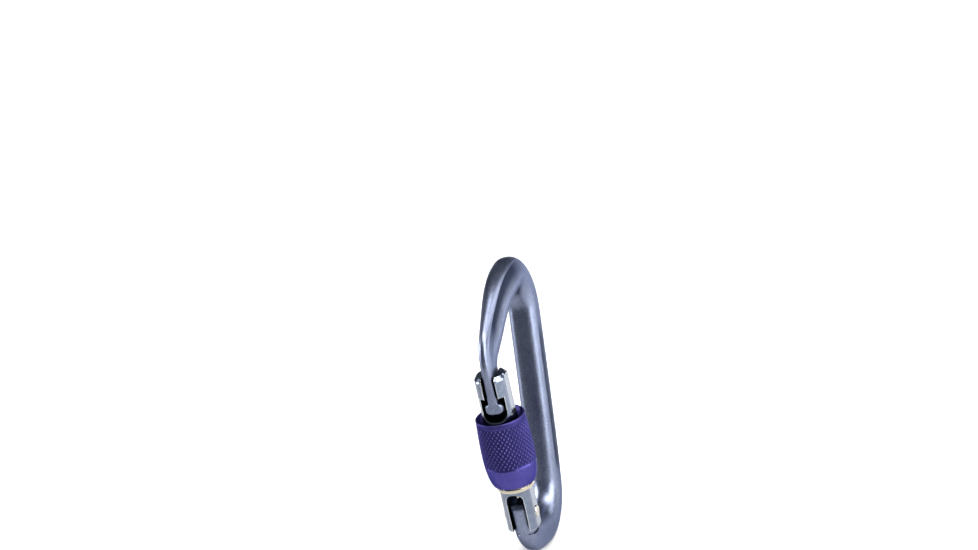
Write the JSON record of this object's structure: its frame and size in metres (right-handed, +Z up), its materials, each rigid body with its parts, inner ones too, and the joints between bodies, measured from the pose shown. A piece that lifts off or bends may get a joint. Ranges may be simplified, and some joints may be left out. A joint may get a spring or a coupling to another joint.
{
  "type": "locking carabiner",
  "caption": "Forged aluminium ring with a hinged sprung gate and a knurled screw sleeve that slides up to lock the gate over the nose.",
  "frame": {"origin": "seat inside the top bow, where the carabiner hangs from its anchor", "axes": "+Z up along the closed gate's axis, +X from the spine side to the gate side, Y across the flat sides"},
  "size_m": [0.0622, 0.0166, 0.09],
  "materials": {
    "body_anodised": "satin anodised",
    "gate_polished": "polished",
    "sleeve_anodised": "satin anodised",
    "rivet_steel": "polished",
    "spring_steel": "drawn"
  },
  "bodies": {
    "body": {"body": "body_anodised"},
    "gate": {"gate": "gate_polished", "hinge_rivet": "rivet_steel", "return_spring": "spring_steel"},
    "plunger": {"spring_plunger": "rivet_steel"},
    "sleeve": {"locking_sleeve": "sleeve_anodised"}
  },
  "joints": [
    {"name": "gate_hinge", "type": "hinge", "parent": "body", "child": "gate", "pos_m": [0.0344, 0, -0.0589], "axis": [0, -1, 0], "range_deg": [0, 40], "stiffness_Nm_per_rad": 0.25, "springref_deg": -20.05},
    {"name": "sleeve_travel", "type": "slide", "parent": "gate", "child": "sleeve", "axis": [0, 0, 1], "range_m": [0, 0.01]},
    {"name": "plunger_slide", "type": "slide", "parent": "gate", "child": "plunger", "axis": [0, 0, 1], "range_m": [0, 0.00154], "deforming": ["return_spring"]}
  ],
  "couplings": [
    {"joint": "plunger_slide", "follows": "gate_hinge", "m_per_rad": 0.0022}
  ]
}
